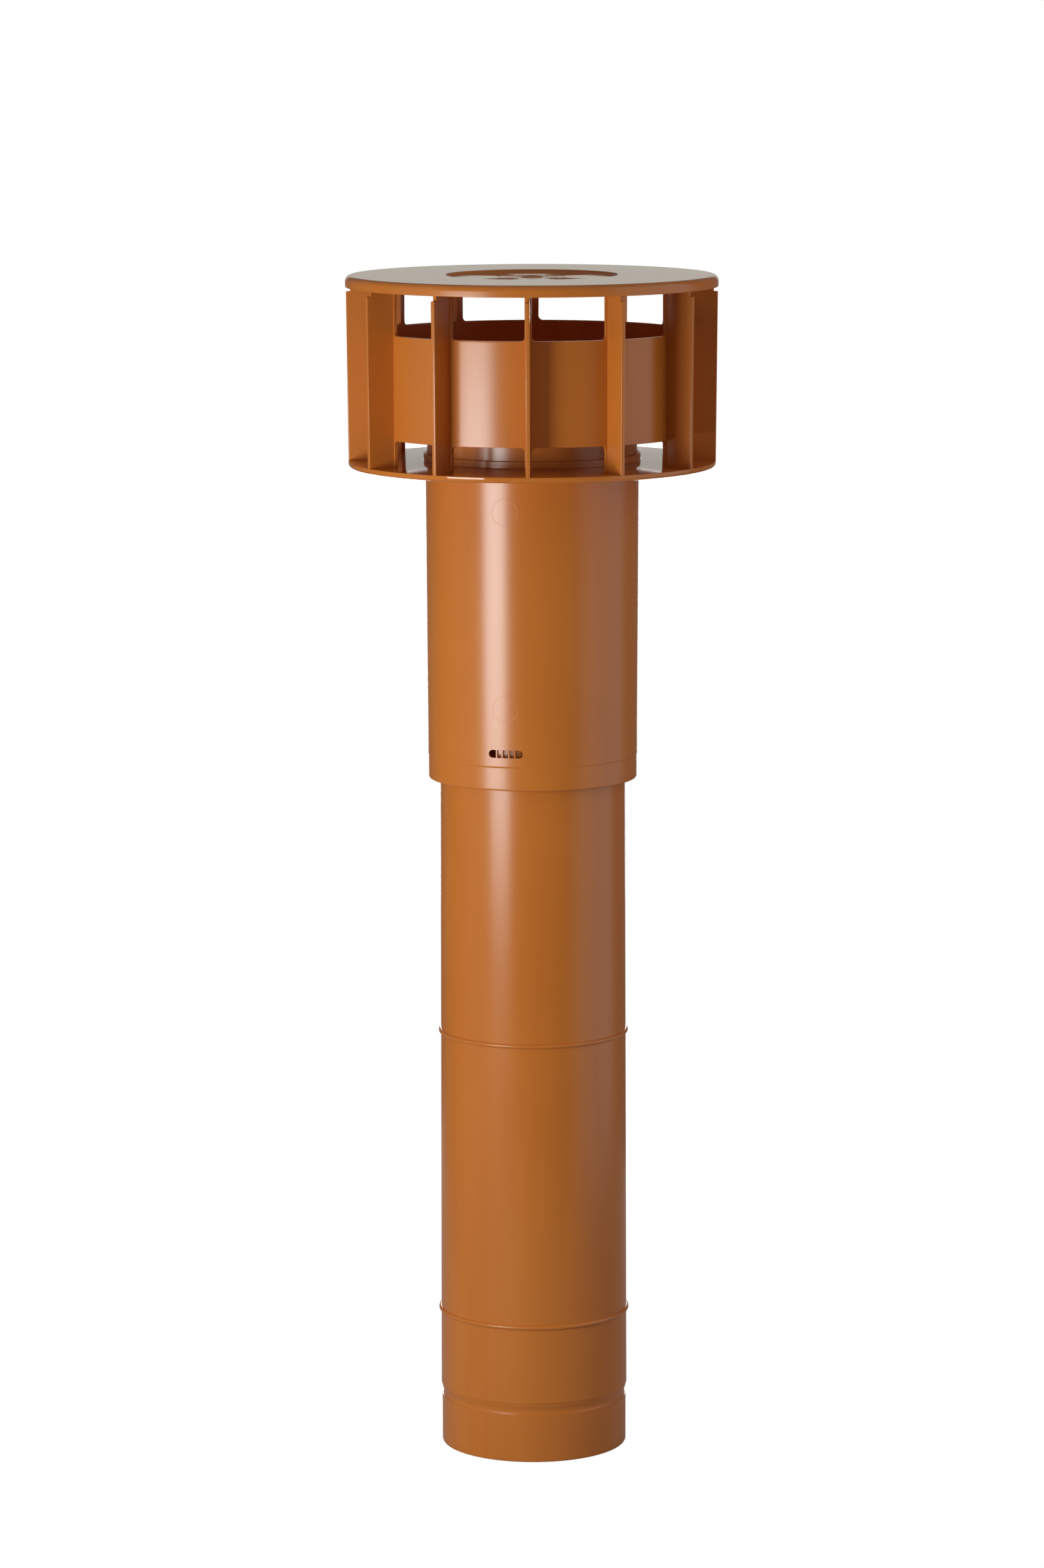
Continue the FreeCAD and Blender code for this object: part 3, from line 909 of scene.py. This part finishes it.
class ROOFVENT_OT_cowl(bpy.types.Operator):
    """Make the cowl: flange, windowed shroud ring on its posts, and vanes with set-back tabs"""

    bl_idname = "roof_vent.cowl"
    bl_label = "Vaned cowl"

    def execute(self, context):
        sizes = context.scene.roof_vent.cowl
        plate_top = sizes.bottom + sizes.rim_h + sizes.rise
        finish = plastic("terracotta_cowl", polished=lambda tree, place:
                         1 - tree.between(tree.split(place)[2], plate_top, plate_top + sizes.rise))
        flange = turned_mesh(self.flange(context, sizes), sizes.segments, finish)
        bay_first = sizes.vane_first + math.pi / sizes.vane_count
        bays = ring_mesh(self.shroud_bay(sizes), sizes.vane_count, bay_first, finish)
        shroud = softened_mesh(joined_mesh([bays]), sizes.edge)
        vanes = ring_mesh(self.vane(sizes), sizes.vane_count, sizes.vane_first, finish)
        settled_piece("cowl_shell", "vane_cage", joined_mesh([flange, shroud, vanes]), finish)
        return {"FINISHED"}

    @staticmethod
    def flange(context, sizes):
        """Profile of the flange, from its hub's lower edge round the rim and over the collar."""
        sleeve = context.scene.roof_vent.sleeve
        tube = context.scene.roof_vent.tube
        hub_r = sleeve_r(sleeve, tube, sleeve.shoulder) - sleeve.ledge + sizes.hub_clear
        rim_in = sizes.flange_r - sizes.rim_wall
        rim_top = sizes.bottom + sizes.rim_h
        boss_r = hub_r + sizes.boss_wall
        collar_r = hub_r + sizes.collar_wall
        collar_top = rim_top + sizes.collar_h
        edge = sizes.edge
        return eased([
            (hub_r, sizes.bottom, edge),
            (boss_r, sizes.bottom, edge),
            (boss_r, rim_top - sizes.plate, edge),
            (rim_in, rim_top - sizes.plate, edge),
            (rim_in, sizes.bottom, edge),
            (sizes.flange_r, sizes.bottom, sizes.rim_round),
            (sizes.flange_r, rim_top, edge),
            (collar_r, rim_top + sizes.rise, edge),
            (collar_r, collar_top, edge),
            (hub_r, collar_top, edge),
        ])

    @staticmethod
    def shroud_bay(sizes):
        """One bay of the shroud on the -Y side, from the middle of one post to the middle of the next.
        It is open at both ends, where the next bays join it."""
        outer = sizes.shroud_r
        inner = outer - sizes.shroud_wall
        foot = sizes.bottom + sizes.rim_h - sizes.overlap
        ring_low = foot + sizes.overlap + sizes.low_window
        ring_high = ring_low + sizes.shroud_h
        border = math.pi / sizes.vane_count
        window = math.asin(math.sin(border) - sizes.post_w / 2 / outer)
        round_r = sizes.window_round
        corner = round_r / outer
        columns = [(border, round_r)]
        steps = 6
        for step in range(steps + 1):
            turn = math.pi / 2 * step / steps
            columns.append((window - corner * (1 - math.cos(turn)), round_r * (1 - math.sin(turn))))
        for step in range(1, steps + 1):
            columns.append(((window - corner) * (1 - step / steps), 0.0))
        columns = [(-turn, extra) for turn, extra in columns] + columns[-2::-1]
        guard = 1.2 * MM
        shape = bmesh.new()

        def vert(radius, turn, height):
            return shape.verts.new(polar(radius, turn, height))

        stacks = []
        for turn, extra in columns:
            low = ring_low - extra
            high = ring_high + extra
            heights = [low, low + guard, high - guard, high]
            if abs(turn) >= window - 1e-9:
                heights = [foot] + heights + [sizes.top]
            stacks.append([[vert(radius, turn, height) for height in heights] for radius in (outer, inner)])

        last = len(stacks) - 1
        for i in range(last):
            post = i in (0, last - 1)
            left, right = stacks[i], stacks[i + 1]
            if not post:
                left = [row[1:-1] if len(row) == 6 else row for row in left]
                right = [row[1:-1] if len(row) == 6 else row for row in right]
            for wall in (0, 1):
                for k in range(len(left[wall]) - 1):
                    shape.faces.new((left[wall][k], right[wall][k], right[wall][k + 1], left[wall][k + 1]))
            for k in (0, -1):
                shape.faces.new((left[0][k], right[0][k], right[1][k], left[1][k]))
        for i in (1, last - 1):
            wall_out, wall_in = stacks[i]
            for k in (0, 4):
                shape.faces.new((wall_out[k], wall_out[k + 1], wall_in[k + 1], wall_in[k]))
        return mesh_from(shape)

    @staticmethod
    def vane(sizes):
        """One vane on the -Y side, with a set-back tab on top that fits inside the cap's rim."""
        root = sizes.shroud_r - sizes.shroud_wall / 2
        foot = sizes.bottom + sizes.rim_h - sizes.overlap
        return plate_mesh([
            (root, foot),
            (sizes.vane_foot_r, foot),
            (sizes.vane_top_r, sizes.vane_top),
            (sizes.tab_r, sizes.vane_top),
            (sizes.tab_r, sizes.top),
            (root, sizes.top),
        ], sizes.vane_thick, sizes.shroud_r, sizes.vane_edge)


class ROOFVENT_OT_cap(bpy.types.Operator):
    """Make the round cap with its rounded rim, shallow dish, low dome and short ridges"""

    bl_idname = "roof_vent.cap"
    bl_label = "Cap"

    def execute(self, context):
        sizes = context.scene.roof_vent.cap
        rim_top = sizes.top - sizes.rim_round
        finish = plastic("terracotta_cap", polished=lambda tree, place:
                         tree.between(tree.split(place)[2], rim_top, sizes.top - sizes.dish_depth))
        mesh = turned_mesh(self.profile(sizes), sizes.segments, finish, closed=False)
        settled_piece("cap_shell", "cap_plate", self.ridged(joined_mesh([mesh]), sizes), finish)
        return {"FINISHED"}

    @staticmethod
    def profile(sizes):
        """Profile of the cap, from the dome's middle over the rim to the middle of the underside."""
        floor = sizes.top - sizes.dish_depth
        dish_r = sizes.dish_d / 2
        under = sizes.top - sizes.plate
        dome = sizes.dome_d / 2
        steps = 8
        rows = []
        for step in range(steps + 1):
            share = step / steps
            rows.append((dome * share, floor + sizes.dome_h * (1 - share ** 2)))
        crest = sizes.ridge_width / 4
        for offset in (-2 * crest, -crest, crest, 2 * crest):
            rows.append((sizes.ridge_r + offset, floor))
        rows += [
            (dish_r - sizes.dish_slope, floor, sizes.dish_round),
            (dish_r, sizes.top, sizes.dish_round),
            (sizes.radius, sizes.top, sizes.rim_round),
            (sizes.radius, sizes.bottom, sizes.edge),
            (sizes.radius - sizes.rim_wall, sizes.bottom, sizes.edge),
            (sizes.radius - sizes.rim_wall, under, sizes.edge),
            (dish_r + sizes.plate / 2, under, sizes.dish_round),
            (dish_r - sizes.dish_slope + sizes.plate / 2, under - sizes.dish_depth, sizes.dish_round),
            (0.0, under - sizes.dish_depth),
        ]
        return eased(rows, closed=False)

    @staticmethod
    def ridged(mesh, sizes):
        """Raises the short ridges round the dome out of the dish's floor."""
        floor = sizes.top - sizes.dish_depth
        pitch = FULL_TURN / sizes.ridge_count
        reach = sizes.ridge_width / 3
        for vert in mesh.vertices:
            x, y, z = vert.co
            if abs(z - floor) > 0.05 * MM or abs(math.hypot(x, y) - sizes.ridge_r) > reach:
                continue
            turn = (math.atan2(x, -y) - sizes.ridge_first + pitch / 2) % pitch - pitch / 2
            if abs(turn) < sizes.ridge_arc / 2:
                vert.co.z = floor + sizes.ridge_h
        return mesh


class ROOFVENT_OT_studio(bpy.types.Operator):
    """Make the pale floor, the soft light and the camera"""

    bl_idname = "roof_vent.studio"
    bl_label = "Studio"

    def execute(self, context):
        sizes = context.scene.roof_vent.studio
        self.floor(sizes)
        strip = self.softbox(sizes, "strip", sizes.strip_azimuth)
        strip.color = sizes.strip_tint
        self.softbox(sizes, "back", sizes.azimuth + math.pi)
        self.room(context, sizes)
        self.camera(context, sizes)
        context.scene.view_settings.view_transform = "Standard"
        return {"FINISHED"}

    @staticmethod
    def rays(tree):
        """1 for rays to the eye or through clear material, and 1 for mirrored rays."""
        camera = tree.add("ShaderNodeLightPath", output="Is Camera Ray")
        return tree.math("MAXIMUM", camera, camera.also("Is Transmission Ray")), camera.also("Is Glossy Ray")

    def floor(self, sizes):
        """Pale floor that looks white to the camera, keeps the vent's shadow and is clear from below."""
        half = sizes.floor_size / 2
        low = -sizes.floor_drop
        mesh = bpy.data.meshes.new("studio_floor")
        mesh.from_pydata([(-half, -half, low), (half, -half, low), (half, half, low), (-half, half, low)],
                         [], [(0, 1, 2, 3)])
        material = bpy.data.materials.new("pale_floor")
        tree = fresh_tree(material)
        matt = tree.add("ShaderNodeBsdfDiffuse", inputs={"Color": (*sizes.floor, 1)})
        white = tree.add("ShaderNodeEmission", inputs={"Strength": sizes.floor_glow})
        direct, mirrored = self.rays(tree)
        share = direct * sizes.floor_share + mirrored * sizes.floor_sheen
        pale = tree.add("ShaderNodeMixShader", inputs={0: share, 1: matt, 2: white})
        below = tree.add("ShaderNodeNewGeometry", output="Backfacing")
        clear = tree.add("ShaderNodeBsdfTransparent")
        mixed = tree.add("ShaderNodeMixShader", inputs={0: below, 1: pale, 2: clear})
        tree.add("ShaderNodeOutputMaterial", inputs={"Surface": mixed})
        mesh.materials.append(material)
        placed("studio_floor", mesh)

    @staticmethod
    def softbox(sizes, side, turn):
        """Upright softbox at an azimuth, facing the duct's axis, with the sizes of its side's light."""
        lamp = bpy.data.lights.new(side + "_softbox", "AREA")
        lamp.shape = "RECTANGLE"
        distance, height, lamp.size, lamp.size_y, lamp.energy = (
            getattr(sizes, side + "_" + what) for what in ("distance", "height", "width", "length", "power"))
        light = placed(side + "_softbox", lamp)
        light.location = polar(distance, turn, height)
        light.rotation_euler = (math.pi / 2, 0, turn)
        light.visible_camera = False
        return lamp

    def room(self, context, sizes):
        """White background, and a dim room with a pale panel, a dim wing and a pale backdrop."""
        world = bpy.data.worlds.new("studio_room")
        context.scene.world = world
        tree = fresh_tree(world)
        x, y, z = tree.split(tree.add("ShaderNodeTexCoord", output="Generated"))
        cos, sin = math.cos(sizes.azimuth), math.sin(sizes.azimuth)
        towards_camera = x * sin - y * cos
        towards_right = x * cos + y * sin
        up = tree.math("MAXIMUM", z, 0.0)
        side = tree.math("ARCTAN2", towards_right, towards_camera)
        soft = sizes.panel_soft

        def upright(start, end):
            """1 between two sides, and less towards the ceiling and the floor."""
            return tree.between(side, start - soft, start + soft) \
                * (1 - tree.between(side, end - soft, end + soft)) \
                * (1 - tree.between(tree.math("ABSOLUTE", z), 0.5, 0.9))

        light = sizes.ambient + up * up * sizes.ceiling \
            + upright(sizes.panel_from, sizes.panel_to) * sizes.panel \
            + upright(sizes.wing_from, sizes.wing_to) * sizes.wing
        direct, mirrored = self.rays(tree)
        behind = tree.between(-towards_camera, 0.95, 0.99)
        backdrop = mirrored * behind * (1 - tree.between(up, 0.3, 0.6))
        white = direct + backdrop * sizes.backdrop
        strength = light * (1 - white) + white
        tint = tree.blend(backdrop, (1, 1, 1, 1), (*sizes.backdrop_tint, 1))
        background = tree.add("ShaderNodeBackground", inputs={"Color": tint, "Strength": strength})
        tree.add("ShaderNodeOutputWorld", inputs={"Surface": background})

    @staticmethod
    def camera(context, sizes):
        """Camera at the photograph's viewing angle."""
        data = bpy.data.cameras.new("camera")
        data.lens = sizes.lens
        data.sensor_width = 36.0
        data.sensor_fit = "AUTO"
        data.shift_x = sizes.shift_x
        data.shift_y = sizes.shift_y
        camera = placed("camera", data)
        camera.location = polar(sizes.distance, sizes.azimuth, sizes.height)
        aim = Euler((math.pi / 2 - sizes.pitch, 0, sizes.azimuth)).to_matrix()
        camera.rotation_euler = (aim @ Matrix.Rotation(sizes.roll, 3, "Z")).to_euler()
        context.scene.camera = camera


class ROOFVENT_PT_panel(bpy.types.Panel):
    """Sidebar panel with the vent's pieces and sizes"""

    bl_idname = "ROOFVENT_PT_panel"
    bl_label = "Roof vent terminal"
    bl_space_type = "VIEW_3D"
    bl_region_type = "UI"
    bl_category = "Roof vent"

    def draw(self, context):
        settings = context.scene.roof_vent
        for group in ("tube", "sleeve", "cowl", "cap", "studio", "finish"):
            box = self.layout.box()
            if group in BUTTONS:
                box.operator(BUTTONS[group].bl_idname)
            sizes = getattr(settings, group)
            for name in sizes.bl_rna.properties.keys():
                if name not in ("rna_type", "name"):
                    box.prop(sizes, name)


BUTTONS = {
    "tube": ROOFVENT_OT_duct_tube,
    "sleeve": ROOFVENT_OT_sleeve,
    "cowl": ROOFVENT_OT_cowl,
    "cap": ROOFVENT_OT_cap,
    "studio": ROOFVENT_OT_studio,
}
CLASSES = (
    DuctTubeSizes,
    SleeveSizes,
    CowlSizes,
    CapSizes,
    FinishSettings,
    StudioSettings,
    RoofVentSettings,
    *BUTTONS.values(),
    ROOFVENT_PT_panel,
)


def register():
    for cls in CLASSES:
        bpy.utils.register_class(cls)
    bpy.types.Scene.roof_vent = bpy.props.PointerProperty(
        type=RoofVentSettings, name="Roof vent", description="Sizes, finish and studio of the vent")


def unregister():
    del bpy.types.Scene.roof_vent
    for cls in reversed(CLASSES):
        bpy.utils.unregister_class(cls)


def main():
    register()
    bpy.ops.roof_vent.duct_tube()
    bpy.ops.roof_vent.sleeve()
    bpy.ops.roof_vent.cowl()
    bpy.ops.roof_vent.cap()
    bpy.ops.roof_vent.studio()


if __name__ == "__main__":
    main()
